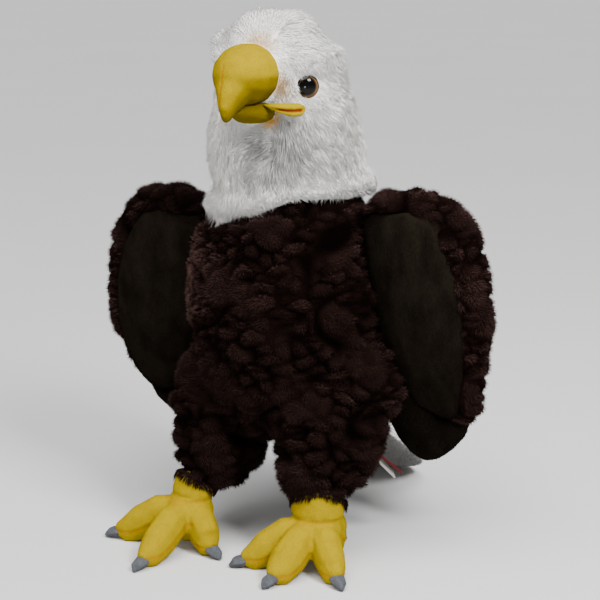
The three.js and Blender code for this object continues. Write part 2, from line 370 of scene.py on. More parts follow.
def spread_roots(piece, spacing, seed):
    """Evenly scattered roots over a piece that has been unwrapped."""
    mesh = piece.data
    mesh.calc_loop_triangles()
    corners = values_of(mesh.loop_triangles, "vertices", kind=int)
    loops = values_of(mesh.loop_triangles, "loops", kind=int)
    spots = values_of(mesh.uv_layers.active.data, "uv", 2)
    points, normals = points_of(piece), normals_of(piece)
    a, b, c = (points[corners[:, k]] for k in range(3))
    areas = np.linalg.norm(np.cross(b - a, c - a), axis=1) / 2
    rng = np.random.default_rng(seed)
    tries_each = 2.2  # enough to leave few cells empty
    tries = int(tries_each * areas.sum() / spacing**2)
    chosen = rng.choice(len(corners), tries, p=areas / areas.sum())
    u, v = rng.random(tries), rng.random(tries)
    u, v = np.where(u + v > 1, 1 - u, u), np.where(u + v > 1, 1 - v, v)
    weights = np.stack([1 - u - v, u, v], axis=1)[:, :, None]
    found = (points[corners[chosen]] * weights).sum(axis=1)
    first = rng.permutation(first_in_cells(found / spacing))
    ways = unit((normals[corners[chosen]] * weights).sum(axis=1))
    places = (spots[loops[chosen]] * weights).sum(axis=1)
    return Roots(found[first], ways[first], places[first])


class Clumps:
    """Centres that gather the tufts around them. stretch squeezes the world, so clumps grow long across it.

    waver is how far their borders stray from straight.
    """

    def __init__(self, roots, size, seed, stretch=(1.0, 1.0, 1.0), waver=0.0):
        self.size, self.seed, self.stretch, self.waver = size, seed, np.array(stretch), waver
        first = first_in_cells(roots.points * self.stretch / size + np.random.default_rng(seed).random(3))
        self.points, self.normals = roots.points[first], roots.normals[first]
        self.tree = KDTree(len(first))
        for i, point in enumerate(self.points * self.stretch):
            self.tree.insert(point, i)
        self.tree.balance()

    def __len__(self):
        return len(self.points)

    def nearest(self, points):
        """For each point, its clump and how far it is inside that clump's border."""
        stray = [self.waver * wobble(points, 0.9 * self.size, self.seed + k) for k in range(3)]
        points = points + np.stack(stray, axis=1)
        owner, inside = np.empty(len(points), int), np.empty(len(points))
        for i, point in enumerate(points * self.stretch):
            (_, first, near), (_, _, far) = self.tree.find_n(point, 2)
            owner[i], inside[i] = first, (far - near) / 2
        return owner, inside


def set_over(points, heights, cloth):
    """Moves points to these heights over the nearest places of a cloth."""
    moved = np.empty_like(points)
    for i, (point, height) in enumerate(zip(points, heights)):
        place, normal, _, _ = cloth.find_nearest(point)
        moved[i] = place + normal * height
    return moved


STEPS = 2  # rings of a lock
MOST_FACES = 190000  # in one piece of a coat


def lock_faces(steps):
    """Triangles of one lock: a closed root, rings of three corners and a tip."""
    faces = [(0, 2, 1)]
    for k in range(steps - 1):
        for corner in range(3):
            here, there = 3 * k + corner, 3 * k + (corner + 1) % 3
            faces += [(here, there, there + 3), (here, there + 3, here + 3)]
    last = 3 * (steps - 1)
    faces += [(last + corner, last + (corner + 1) % 3, 3 * steps) for corner in range(3)]
    return np.array(faces)


def coat(name, roots, cloth, lie, lift, reach, thick, tone,
         droop=0.5, sink=0.8 * MM, steps=STEPS, goal=None, pull=None):
    """Tufts of pile as one mesh: closed three-sided locks that rise from their roots and fall along lie.

    lift is a lock's angle off the cloth and droop how much of that it loses on its way, reach is its length,
    thick its half-width and sink the depth of its root. It bends with the cloth below it. pull is how strongly
    its tip gathers to its goal.
    """
    total = len(roots)
    levels = np.linspace(0, 1, steps + 1)
    spine = [roots.points - roots.normals * sink]
    height = np.zeros(total)
    ways = []
    for level in levels[:-1]:
        angle = lift * (1 - droop * level)
        way = roots.normals * np.sin(angle)[:, None] + lie * np.cos(angle)[:, None]
        ways.append(way)
        start = roots.points if level == 0 else spine[-1]
        point = start + way * (reach / steps)[:, None]
        if goal is not None:
            point = point + (goal - point) * (pull * ((level + 1 / steps) ** 1.5))[:, None]
        height = height + np.sin(angle) * reach / steps
        spine.append(set_over(point, height, cloth))
    across = unit(np.cross(lie, roots.normals))
    taper, flatness = 0.45, 0.7
    rings = []
    for k in range(steps):
        up = np.cross(ways[k], across)
        half = (thick * (1 - taper * levels[k]))[:, None]
        for corner in range(3):
            angle = 2 * math.pi * corner / 3 + math.pi / 2
            rings.append(spine[k] + across * half * math.cos(angle) + up * half * flatness * math.sin(angle))
    rings.append(spine[-1])
    points = np.stack(rings, axis=1)
    points[..., 2] = np.maximum(points[..., 2], 0)  # the floor flattens what would hang below it
    each = points.shape[1]
    corners = (np.arange(total)[:, None, None] * each + lock_faces(steps)[None]).reshape(-1)
    mesh = bpy.data.meshes.new(name)
    mesh.vertices.add(total * each)
    mesh.vertices.foreach_set("co", points.ravel())
    mesh.loops.add(len(corners))
    mesh.loops.foreach_set("vertex_index", corners)
    mesh.polygons.add(len(corners) // 3)
    mesh.polygons.foreach_set("loop_start", np.arange(0, len(corners), 3))
    mesh.update(calc_edges=True)
    patch = 0.003  # how much of the skin's map a lock spans
    heights = np.append(np.repeat(levels[:-1], 3), 1.0)
    sides = np.append(np.tile([0.0, 1.0, 0.5], steps), 0.5)
    layout = (np.stack([sides, heights], axis=1) - 0.5) * patch
    spots = (roots.spots[:, None] + layout[None]).reshape(-1, 2)
    mesh.uv_layers.new(name="OFBake").data.foreach_set("uv", spots[corners].ravel())
    piece = bpy.data.objects.new(name, mesh)
    bpy.context.scene.collection.objects.link(piece)
    marked(piece, "height", np.tile(heights, total))
    marked(piece, "tone", np.repeat(tone, each))
    return piece


def coat_pieces(name, skin, roots, material, slot, fields):
    """Splits a coat into pieces that stay under the limit on faces. fields are coat's arguments by root."""
    cloth = tree_of(skin.data)
    most = MOST_FACES // len(lock_faces(fields.get("steps", STEPS)))
    order = np.argsort(roots.points[:, 0], kind="stable")
    for part, chosen in enumerate(np.array_split(order, math.ceil(len(roots) / most)), start=1):
        own = {key: value[chosen] if np.ndim(value) else value for key, value in fields.items()}
        finished(coat(f"{name}_{part}", roots.where(chosen), cloth, **own), material, slot)


def flat_pile(rng, roots, lie, pile, lift, reach, thick, sink):
    """Fields of short pile that lies flat.

    lift in degrees, and reach in lengths of the pile, are each a least value and how much it varies.
    """
    total = len(roots)
    return {
        "lie": lie,
        "lift": np.radians(lift[0] + lift[1] * rng.random(total)),
        "reach": pile * (reach[0] + reach[1] * rng.random(total)),
        "thick": np.full(total, thick),
        "tone": rng.random(total),
        "sink": sink,
    }


# ---- Materials ----
class Value:
    """A socket of a material's nodes. Arithmetic on it adds Math nodes."""

    def __init__(self, finish, socket):
        self.finish, self.socket = finish, socket

    def math(self, operation, first, second):
        return self.finish.node("ShaderNodeMath", {"operation": operation}, {0: first, 1: second})

    def __add__(self, other):
        return self.math("ADD", self, other)

    def __mul__(self, other):
        return self.math("MULTIPLY", self, other)

    def __rsub__(self, other):
        return self.math("SUBTRACT", other, self)

    __radd__, __rmul__ = __add__, __mul__

    def eased(self, low, high, start=0.0, end=1.0):
        """start below low, end above high, smooth between them."""
        settings = {"interpolation_type": "SMOOTHSTEP"}
        return self.finish.node("ShaderNodeMapRange", settings, {0: self, 1: low, 2: high, 3: start, 4: end})


class Finish:
    """One material, built node by node. Its sizes are in millimetres."""

    def __init__(self, name, roughness=0.9, specular=0.0):
        self.material = bpy.data.materials.new(name)
        self.material.use_nodes = True
        self.nodes, self.links = self.material.node_tree.nodes, self.material.node_tree.links
        self.shader = self.nodes["Principled BSDF"]
        self.shader.inputs["Roughness"].default_value = roughness
        self.shader.inputs["Specular IOR Level"].default_value = specular
        self.place = self.node("ShaderNodeTexCoord", output="Object")

    def node(self, kind, settings=None, inputs=None, output=0):
        """Adds a node, then its settings, then the values or links of its sockets."""
        made = self.nodes.new(kind)
        for name, value in (settings or {}).items():
            if name == "stops":
                ramp = made.color_ramp
                while len(ramp.elements) < len(value):
                    ramp.elements.new(0.5)
                for element, (position, shade) in zip(ramp.elements, value):
                    element.position, element.color = position, (*shade, 1)
            else:
                setattr(made, name, value)
        for name, value in (inputs or {}).items():
            self.feed(made.inputs[name], value)
        return Value(self, made.outputs[output])

    def feed(self, socket, value):
        if isinstance(value, Value):
            self.links.new(value.socket, socket)
        elif socket.type == "RGBA" and len(value) == 3:
            socket.default_value = (*value, 1)
        else:
            socket.default_value = value

    def mix(self, factor, first, second):
        """A colour that goes from first to second."""
        return self.node("ShaderNodeMix", {"data_type": "RGBA"}, {0: factor, 6: first, 7: second}, output=2)

    def scaled(self, shade, factor):
        """A colour times a number."""
        return self.node("ShaderNodeVectorMath", {"operation": "SCALE"}, {0: shade, "Scale": factor})

    def noise(self, size, detail=2.0, stretch=(1, 1, 1), roughness=0.5):
        """Cloudy noise whose bumps are about this size."""
        scale = tuple(v / (size * MM) for v in stretch)
        place = self.node("ShaderNodeMapping", None, {"Vector": self.place, "Scale": scale})
        return self.node("ShaderNodeTexNoise", None, {
            "Vector": place, "Scale": 1.0, "Detail": detail, "Roughness": roughness})

    def near(self, place, inner, outer):
        """1 within inner of a place, 0 beyond outer."""
        far = self.node(
            "ShaderNodeVectorMath", {"operation": "DISTANCE"}, {0: self.place, 1: tuple(place)}, output=1)
        return far.eased(inner * MM, outer * MM, 1.0, 0.0)

    def attribute(self, name):
        return self.node("ShaderNodeAttribute", {"attribute_name": name}, output="Fac")

    def bump(self, height, distance, strength=1.0):
        inputs = {"Height": height, "Distance": distance * MM, "Strength": strength}
        self.feed(self.shader.inputs["Normal"], self.node("ShaderNodeBump", None, inputs))

    def done(self, shade, factor):
        """The material, with this colour times this number."""
        self.feed(self.shader.inputs["Base Color"], self.scaled(shade, factor))
        return self.material


MADE = {}


def shared(make):
    """The one material that this function makes, for all the pieces made of it."""
    if make not in MADE:
        MADE[make] = make()
    return MADE[make]


def white_shade(finish):
    """The hood's white, grey in patches, with painted shade under the chin, and tinted where it meets the
    beak.
    """
    shade = finish.mix(finish.noise(24).eased(0.35, 0.7), tint("white"), tint("white", 0.88))
    top = finish.near(BEAK_ROOT + mm(5, -5, 33), 7, 21)
    beside = finish.near(BEAK_ROOT + mm(23, -4, 2), 5, 13)
    chin = finish.near(middle("beak_lower") + mm(14, 4, -3), 4, 11) * finish.noise(3).eased(0.3, 0.5)
    lip = finish.near(middle("gape_left") + mm(-2, 0, 6), 3, 14)
    # painted shade: the throat under the beak is greyed where the beak's shadow would fall
    painted_throat_shade = finish.near(middle("beak_lower") + mm(14, 18, -26), 8, 52)
    shade = finish.scaled(shade, 1 - painted_throat_shade * 0.62)
    return finish.mix(top * 0.75 + beside * 0.75 + chin + lip * 0.25, shade, tint("blush"))


def white_cloth():
    finish = Finish("white_cloth", 0.95, 0.2)
    finish.bump(finish.noise(1.5, stretch=(1, 1, 0.4)), 1, 0.6)
    return finish.done(white_shade(finish), 0.9)


def white_pile():
    finish = Finish("long_white_pile", 0.85, 0.25)
    tone = finish.attribute("tone").eased(0, 1, 0.94, 1.04)
    # painted shade: each lock is a little darker towards its root
    depth = finish.attribute("height").eased(0, 0.7, 0.95, 1.0)
    return finish.done(white_shade(finish), tone * depth)


def brown_cloth():
    finish = Finish("brown_cloth", 1.0)
    finish.bump(finish.noise(2, stretch=(1, 1, 0.5)), 1, 0.7)
    # painted shade in the cloth's creases
    crease_shade = 1 - finish.attribute("crease") * 0.85
    return finish.done(tint("brown"), finish.noise(9).eased(0.3, 0.7, 0.75, 1.15) * crease_shade)


def crushed_plush(name, painted_glow):
    """Crushed plush: tufts warmer at the tip, with painted shade at the root and in the creases, and painted
    light on the flank, the chest and the wings.
    """
    finish = Finish(name)
    # painted shade: tufts darker towards the root, and their tone carries painted shade in the creases
    up = (0.35 + 0.65 * finish.attribute("height")) * finish.attribute("tone")
    shade = finish.mix(up.eased(0.05, 0.95), tint("brown"), tint("brown_tip"))
    # painted light: pools of light on the right flank and on the chest
    painted_flank_light = finish.near(mm(-56, -70, 215), 15, 60)
    painted_chest_light = finish.near(mm(15, -95, 215), 20, 60)
    # large random patches, scaled up as painted light where the pile is the wings'
    patches_and_painted_shading = finish.noise(30).eased(0.3, 0.7, 0.8 * painted_glow, 1.15 * painted_glow)
    return finish.done(shade, patches_and_painted_shading * (1 + painted_flank_light * 2.4 + painted_chest_light * 0.4))


def brown_pile():
    return crushed_plush("crushed_brown_pile", 1.0)


def wing_pile():
    # painted light: the wings' pile is drawn brighter than the body's
    return crushed_plush("crushed_wing_pile", 1.5)


def lining_plush():
    finish = Finish("lining_plush")
    strokes = finish.noise(16, 3.0, (1, 1, 0.45), 0.6)
    nap = finish.noise(0.9, 2.0, (1, 1, 0.35), 0.7)
    finish.bump(nap * 0.6 + strokes * 0.8, 1.2, 0.8)
    seam = 1 - finish.attribute("seam") * 0.6
    light = strokes.eased(0.3, 0.7, 0.7, 1.35) * nap.eased(0.3, 0.7, 0.8, 1.2)
    return finish.done(tint("lining"), light * seam)


def lining_nap():
    finish = Finish("lining_nap")
    return finish.done(tint("lining"), finish.attribute("tone").eased(0, 1, 0.8, 1.3))


def yellow_shade(finish):
    """Golden plush, darker in random patches, with painted shade on its underside and in its seams, and brown
    under the cuffs.
    """
    deep = tuple(c * k for c, k in zip(tint("yellow"), (0.92, 0.87, 0.8)))
    # painted shade on the faces that look down
    underside_shade = finish.attribute("under") * 0.75
    patches_and_painted_shading = underside_shade + finish.noise(7, 4.0).eased(0.35, 0.75) * (1 - underside_shade)
    shade = finish.scaled(finish.mix(patches_and_painted_shading, tint("yellow"), deep), 1 - underside_shade * 0.82)
    # painted shade in the seams
    shade = finish.mix(finish.attribute("seam") * 0.75, shade, tint("seam_shade"))
    return finish.mix(finish.attribute("cuff"), shade, tint("brown_tip", 0.4))


def yellow_plush():
    finish = Finish("golden_plush", 0.95)
    nap = finish.noise(0.7, 3.0, roughness=0.75)
    finish.bump(nap * 0.7 + finish.noise(5) * 0.5, 0.6, 0.9)
    return finish.done(yellow_shade(finish), nap.eased(0.3, 0.7, 0.82, 1.12))


def lip_plush():
    """Yellow plush that turns orange-red inside the rolled lip."""
    finish = Finish("lip_plush", 0.95)
    nap = finish.noise(0.7, 3.0, roughness=0.75)
    finish.bump(nap, 0.4, 0.8)
    shade = finish.mix(finish.attribute("inside").eased(0.25, 0.75), tint("yellow"), tint("mouth"))
    return finish.done(shade, nap.eased(0.3, 0.7, 0.85, 1.1))


def grey_felt():
    finish = Finish("claw_felt", 1.0, 0.15)
    fibres = finish.noise(0.8, 4.0, roughness=0.8)
    finish.bump(fibres, 0.5, 1.0)
    patches = finish.noise(4).eased(0.3, 0.7, 0.85, 1.1)
    return finish.done(tint("felt"), fibres.eased(0.3, 0.7, 0.7, 1.25) * patches)


def tail_cloth():
    finish = Finish("tail_cloth", 0.95, 0.2)
    nap = finish.noise(1.2, 3.0, (1, 0.4, 0.4), 0.7)
    finish.bump(nap, 1, 0.7)
    shade = finish.mix(finish.noise(20).eased(0.35, 0.7), tint("white"), tint("white", 0.87))
    lit = finish.attribute("under").eased(0, 1, 1.0, 0.2)
    return finish.done(shade, nap.eased(0.3, 0.7, 0.85, 1.0) * lit)


def tail_nap():
    finish = Finish("tail_nap", specular=0.2)
    return finish.done(tint("white"), finish.attribute("tone"))


def safety_eye():
    """Black pupil, amber ring with fine rays and a thin black rim, under a clear dome."""
    finish = Finish("safety_eye", 0.03, 0.16)
    black = (0.0015, 0.0012, 0.0012)
    stops = [(0.0, black), (0.60, black), (0.65, tint("amber", 0.25)), (0.76, tint("amber")),
             (0.90, tint("amber", 1.3)), (0.96, black)]
    ring = finish.node("ShaderNodeValToRGB", {"stops": stops}, {0: finish.attribute("ring")})
    return finish.done(ring, finish.noise(0.6).eased(0.3, 0.7, 0.8, 1.2))


def ribbon(name, shade):
    """Woven satin ribbon."""
    finish = Finish(name, 0.6, 0.15)
    weave = finish.noise(0.35, 1.0, (1, 1, 0.3))
    finish.bump(weave, 0.1, 0.6)
    return finish.done(shade, weave.eased(0.3, 0.7, 0.9, 1.05))


def floor_finish():
    finish = Finish("floor", specular=0.5)
    return finish.done(finish.mix(finish.noise(400), (0.58, 0.58, 0.58), (0.62, 0.62, 0.62)), 1.0)


# ---- The hood ----
CREASE = 22 * MM  # height of the neck's crease over the seam
SWIRL = np.array([AXIS_X, AXIS_Y, COLLAR_HEIGHT]) + mm(-3, -52, 50)  # where the throat's pile twists
BROW_CORNERS = [np.array([AXIS_X + hand * 45 * MM, -0.040, 0.380]) for hand in SIDES.values()]
BULGES = (  # where the stuffing swells the hood: place, height and width
    (mm(-42, -30, 399), 7.5 * MM, 17 * MM),
    (mm(-57, -60, 316), 2.5 * MM, 20 * MM),
    (mm(56, -14, 283), 4.5 * MM, 20 * MM),
)


def hood_lie(points, normals):
    """White pile runs away from the beak over the face, and falls to the collar, where it turns outwards."""
    from_beak = points - BEAK_ROOT
    distance = np.linalg.norm(from_beak, axis=1)
    face = falling(distance, 35, 95)
    behind = eased(points[:, 1], AXIS_Y - 15 * MM, AXIS_Y + 40 * MM)
    fall = DOWN + np.array([0.25, 0.35, 0]) * (1 - behind)[:, None]
    way = unit(from_beak) * (0.1 + 0.9 * face)[:, None] + fall * (0.2 + 0.8 * (1 - face))[:, None]
    beside = falling(distance, 40, 62) * falling(points[:, 2] - EYE_PLACES["left"][2], 10, 22)
    return along_surface(way + 2.5 * beside[:, None] * DOWN, normals)


def brow(points, width):
    """1 at the tufty outer corners of the brow, 0 well away from them."""
    return sum(bump(points, corner, width) for corner in BROW_CORNERS)


def hood_relief(points):
    """How far the hood's cloth swells: soft lumps, a crease round the neck and a roll under it."""
    height = above_seam(points)
    crease = 3.6 * MM * (1 + 0.6 * wobble(points, 40 * MM, 16)) * hill(height - CREASE, 5 * MM)
    roll = 3.4 * MM * hill(height - CREASE + 14 * MM, 10 * MM)
    dimple = 4 * MM * bump(points, SWIRL, 9 * MM)
    lumps = 1.8 * MM * wobble(points, 22 * MM, 15)
    cheek = 5 * MM * bump(points, EYE_PLACES["right"] - mm(0, 0, 6), 22 * MM)
    corners = 3 * MM * brow(points, 17 * MM) + 3.5 * MM * brow(points, 9 * MM)
    crown = 1.3 * MM * rising(points[:, 2], 370, 395)
    crown += sum(swell * bump(points, place, width) for place, swell, width in BULGES)
    return lumps + corners + crown + roll - crease - dimple - cheek


def hood_skin():
    """The white cloth, thin round the eyes and tucked in under the collar."""
    size = sizes()
    skin = sewn("hood_cloth", "head", "neck", "trunk", *FACE_NODES, voxel=size.voxel)
    cut_past_seam(skin, 1)
    points = points_of(skin)
    bare = from_eyes(points)
    depth = size.hood_depth * (0.45 + 0.55 * rising(bare, 10, 30))
    tuck = 11 * MM * falling(above_collar(points), -9, 0)
    bare = np.minimum(bare, clearance(points, *FACE_NODES))
    socket = 2.2 * SUNK["right"] * falling(clearance(points, "eye_right", "gape_right"), 2, 10)
    pushed(skin, hood_relief(points) * rising(bare, 6, 25) - depth - tuck - socket)
    unwrapped(skin)
    return skin


def hood_locks(skin):
    """The long white pile: fine locks that gather in clumps, short round the beak and eyes."""
    size = sizes()
    roots = spread_roots(skin, size.hood_spacing, seed=11)
    more = spread_roots(skin, size.hood_spacing, seed=17)
    roots = roots.joined(more.where(above_collar(more.points) < 10 * MM))
    bare = clearance(roots.points, *FACE_NODES)
    kept = (above_collar(roots.points) > -1 * MM) & (bare > 0.6 * MM)
    roots, bare = roots.where(kept), bare[kept]
    rng = np.random.default_rng(12)
    total = len(roots)
    clumps = Clumps(roots, 8 * MM, seed=13, waver=2.5 * MM)
    owner, inside = clumps.nearest(roots.points)
    swirl = 0.55 * wobble(clumps.points, 26 * MM, 14) + 0.25 * rng.normal(size=len(clumps))
    swirl -= 1.5 * bump(clumps.points, SWIRL, 17 * MM)
    lie = hood_lie(roots.points, roots.normals)
    lie = turned(lie, roots.normals, swirl[owner] + 0.22 * rng.normal(size=total))
    near_eye = from_eyes(roots.points)
    lids = EYE_PLACES["left"][0] - 3 * MM - np.abs(roots.points[:, 0] - AXIS_X)
    lash = hill(near_eye - 9.5 * MM, 3 * MM) * rising(lids, 0, 3)
    short = 0.25 + 0.75 * rising(np.minimum(near_eye - 7 * MM, bare), 2, 20)
    short = np.maximum(short, 0.5 * lash)
    hem = falling(above_collar(roots.points), 2, 16)
    reach = size.hood_pile * short * (1 + 0.15 * rng.normal(size=total)) * (1 - 0.42 * hem)
    lift = 13 + 9 * hem + 4 * rng.normal(size=total) + 8 * rising(inside, 0, 3)
    lift += 26 * brow(roots.points, 10 * MM) + 34 * lash
    centre_lie = turned(hood_lie(clumps.points, clumps.normals), clumps.normals, swirl)
    tips = clumps.points + centre_lie * size.hood_pile * 0.9 + clumps.normals * size.hood_depth * 0.9
    coat_pieces("hood_pile", skin, roots, white_pile(), "white_pile", {
        "lie": lie,
        "lift": np.radians(np.clip(lift, 6, 60)),
        "reach": reach,
        "thick": 0.29 * MM * (1 + 0.3 * rng.random(total)) * (0.7 + 0.3 * short),
        "tone": rng.random(total),
        "goal": tips[owner],
        "pull": 0.35 * short * (1 - 0.7 * hem) * (1 - lash) * rising(inside, -1, 2),
        "droop": 0.7,
    })


class EAGLE_OT_hood(bpy.types.Operator):
    """The white head and neck, with their long pile"""

    bl_idname = "eagle.hood"
    bl_label = "White hood"

    def execute(self, context):
        skin = hood_skin()
        hood_locks(skin)
        finished(skin, white_cloth(), "white_pile", "head", "neck", fill=0.9)
        return {"FINISHED"}


# ---- The brown body ----
FOLD_STRETCH = np.array([0.4, 0.4, 1.3])
CHEST_SEAM = ((-0.0107, 0.2236), (-0.0034, 0.2585))  # x and z of its two ends
HIP = mm(77, -33, 163)


def body_fullness(skin, points, shin):
    """How far the body's cloth swells: full at the left side and hip, slim inside the legs and at shins."""
    height, facing_left = points[:, 2], normals_of(skin)[:, 0]
    legs = falling(height, 90, 130)
    bulge = (1 - legs) * falling(height, 200, 230)
    bulge *= 7 * MM * eased(facing_left, 0.5, 0.95)
    bulge += 8 * MM * bump(points, HIP, 13 * MM)
    slim = 3.5 * MM * legs * rising(height, 65, 90)
    slim *= eased(-np.sign(points[:, 0] - AXIS_X) * facing_left, -0.2, 0.5)
    return bulge - 2.5 * MM * shin - slim * (1 - shin)


def brown_clumps(skin, seed, centre_seed):
    """The crushed clumps of a brown cloth, wider than high."""
    roots = spread_roots(skin, 3 * MM, seed=seed)
    return Clumps(roots, sizes().clump, centre_seed, stretch=(0.75, 0.75, 1.45), waver=2.5 * MM)


def creases(points, clumps, width):
    """1 in the creases between the clumps and in the long folds, 0 on the clumps. Some creases are closed."""
    _, inside = clumps.nearest(points)
    open_ones = eased(wobble(points, 20 * MM, 91), -0.9, 0.3)
    between = falling(inside, -0.5, width) * (0.25 + 0.75 * open_ones)
    folds = falling(np.abs(wobble(points * FOLD_STRETCH, 24 * MM, 94)) * 9 * MM, 0.4, width)
    folds *= eased(wobble(points, 30 * MM, 95), -0.6, 0.2)
    (low_x, low_z), (high_x, high_z) = CHEST_SEAM
    off_seam = np.abs(points[:, 0] - np.interp(points[:, 2], [low_z, high_z], [low_x, high_x]))
    on_chest = eased(points[:, 2], low_z - 8 * MM, low_z) * (points[:, 1] < AXIS_Y)
    seam = 0.8 * falling(off_seam, 0.3, width) * on_chest
    return np.max([between, folds, seam], axis=0)


def clump_relief(piece, clumps, height):
    """Raises the clumps of a cloth into low pillows with creases between them, and marks the creases for
    painted shade.
    """
    points = points_of(piece)
    swell = 1 + 0.5 * wobble(points, 24 * MM, 92)
    marked(piece, "crease", creases(points, clumps, 3))
    pushed(piece, height * (0.45 * swell - creases(points, clumps, 5)))


def brown_coat(name, skin, roots, clumps, seed, pile):
    """Crushed brown pile: short tufts that stand and lean together in each clump, and part at its border."""
    size = sizes()
    rng = np.random.default_rng(seed)
    total = len(roots)
    owner, _ = clumps.nearest(roots.points)
    swirl = 0.6 * rng.normal(size=len(clumps))
    lie = along_surface(DOWN, roots.normals)
    lie = turned(lie, roots.normals, swirl[owner] + 0.35 * rng.normal(size=total))
    border = creases(roots.points, clumps, 2.5)
    tips = roots.points + lie * size.body_pile * 0.6
    # painted shade: tufts whose tips end over a crease are darkened, fully close to it and partly in a wider
    # band
    shadow, valley_shade = creases(tips, clumps, 2.2), creases(tips, clumps, 5)
    tone = 0.3 * rng.random(len(clumps))[owner] + 0.55 + 0.1 * rng.random(total)
    coat_pieces(name, skin, roots, pile, "brown_pile", {
        "lie": lie,
        "lift": np.radians(np.clip(64 + 7 * rng.normal(size=total), 25, 85)),
        "reach": size.body_pile * (1 + 0.15 * rng.normal(size=total)) * (1 - 0.75 * border),
        "thick": 0.26 * MM * (1 + 0.3 * rng.random(total)),
        "tone": tone * (1 - shadow) * (1 - 0.7 * valley_shade),
        "steps": 1,
    })


class EAGLE_OT_body(bpy.types.Operator):
    """The trunk and thighs, sewn as one, with their crushed brown pile"""

    bl_idname = "eagle.body"
    bl_label = "Brown body"

    def execute(self, context):
        size = sizes()
        furry = ("trunk", "neck", "thigh_left", "thigh_right")
        ankles = ("ankle_left", "ankle_right")
        skin = sewn("body_cloth", *furry, *ankles, voxel=size.voxel)
        cut_past_seam(skin, -1)
        tuck = 9 * MM * rising(above_collar(points_of(skin)), -24, 8)
        pushed(skin, -(size.body_depth - 1.5 * MM + tuck))
        unwrapped(skin)
        clumps = brown_clumps(skin, 21, 22)
        points = points_of(skin)
        shin = rising(clearance(points, *furry), 1.5, 5)
        pushed(skin, body_fullness(skin, points, shin))
        collar = rising(above_collar(points), -14, -4)
        clump_relief(skin, clumps, 7 * MM * (1 - shin) * (1 - collar))
        roots = spread_roots(skin, size.body_spacing, seed=23)
        in_sight = clearance(roots.points, *ankles) > -1 * MM
        roots = roots.where((above_collar(roots.points) < 0) & in_sight)
        brown_coat("body_pile", skin, roots, clumps, 24, shared(brown_pile))
        finished(skin, shared(brown_cloth), "brown_pile", "trunk", "thigh_left", "thigh_right", fill=0.85)
        return {"FINISHED"}


# ---- The wings ----
SHOULDER_DROP = {"left": 1.7, "right": 1.2}  # how much lower the fur lies on the shoulder's outer corner
RIM_DEPTH = {"left": 1.5 * MM, "right": -0.5 * MM}  # how far the fur is pressed in at the wing's outer edge


def wing_out(points, side):
    """How far out along the wing each point is, from 0 at the body to 1."""
    low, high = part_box(f"wing_{side}_arm")
    inner, outer = (low.x, high.x) if side == "left" else (high.x, low.x)
    return (points[:, 0] - inner) / (outer - inner)


def furriness(points, side):
    """Above zero where the wing's fur grows, below zero on its lining. The fur laps over the lining's rim."""
    arm, lining = f"wing_{side}_arm", f"wing_{side}_lining"
    low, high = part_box(arm)
    out = wing_out(points, side)
    up = (points[:, 2] - low.z) / (high.z - low.z)
    top = 19 * MM * eased(up, 0.62, 1.0) * (0.35 + 0.65 * out)
    outside = 9 * MM * eased(out, 0.5, 1.0) * eased(up, 0.05, 0.4)
    return top + outside + np.abs(clearance(points, lining)) - np.abs(clearance(points, arm))


def wing_back(side, seed):
    """The furry back of a wing, which laps round its rim to the front."""
    size = sizes()
    arm, lining = f"wing_{side}_arm", f"wing_{side}_lining"
    skin = sewn(f"wing_{side}_cloth", arm, lining, voxel=size.voxel, smoothing=6)
    points = points_of(skin)
    under = falling(furriness(points, side), -3, 0)
    low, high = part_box(arm)
    out = wing_out(points, side)
    top = 5 * MM * rising(points[:, 2] - high.z, -35, -5)
    top *= 1 - eased(out, 0.25, 0.7) * SHOULDER_DROP[side]
    rim = RIM_DEPTH[side] * eased(out, 0.85, 1.0)
    rim -= 7 * MM * eased(out, 0.65, 0.9) * falling(points[:, 2] - low.z, 0, 18)
    pushed(skin, top - rim - (size.body_depth - 1.5 * MM + 4 * MM * under))
    unwrapped(skin)
    clumps = brown_clumps(skin, seed, seed + 10)
    clump_relief(skin, clumps, 4.5 * MM)
    roots = spread_roots(skin, size.body_spacing, seed=seed + 20)
    roots = roots.where(furriness(roots.points + roots.normals * size.body_depth, side) > 0.5 * MM)
    brown_coat(f"wing_{side}_pile", skin, roots, clumps, seed + 30, shared(wing_pile))
    finished(skin, shared(brown_cloth), "brown_pile", arm, fill=0.8)


def wing_panel(side, part, seed):
    """The smooth lining or tip of a wing."""
    node, arm = f"wing_{side}_{part}", f"wing_{side}_arm"
    panel = sewn(f"{node}_plush", node, voxel=1.8 * MM, smoothing=6, swell=0.2 * MM)
    points = points_of(panel)
    soft = 1.2 * MM * wobble(points * np.array([1, 1, 0.6]), 30 * MM, seed + 40)
    low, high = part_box(node)
    if part == "lining":
        under = rising(furriness(points, side), -2, 3)
        full = 2 * MM * falling(points[:, 2] - low.z, 0, 30) - 4 * MM * under
    else:
        full = 1.5 * MM * rising(points[:, 2] - high.z, -20, 0)
        full += 3 * MM * eased(wing_out(points, side), 0.3, 0.8)
    pushed(panel, soft - 0.8 * MM + full)
    marked(panel, "seam", falling(np.abs(clearance(points, arm)), 1, 6))
    unwrapped(panel)
    roots = spread_roots(panel, 2.2 * MM, seed=seed + 50)
    from_arm = np.abs(clearance(roots.points, arm))
    roots = roots.where((from_arm > 1 * MM) & ((from_arm < 7 * MM) | (part == "tip")))
    rng = np.random.default_rng(seed + 60)
    sway = 0.5 * wobble(roots.points, 25 * MM, seed) + 0.3 * rng.normal(size=len(roots))
    lie = turned(along_surface(DOWN, roots.normals), roots.normals, sway)
    pile = sizes().lining_pile
    fields = flat_pile(rng, roots, lie, pile, (16, 6), (0.8, 0.5), thick=0.35 * MM, sink=0.3 * MM)
    coat_pieces(f"{node}_nap", panel, roots, shared(lining_nap), "wing_lining", fields)
    finished(panel, shared(lining_plush), "wing_lining", node, fill=0.7)


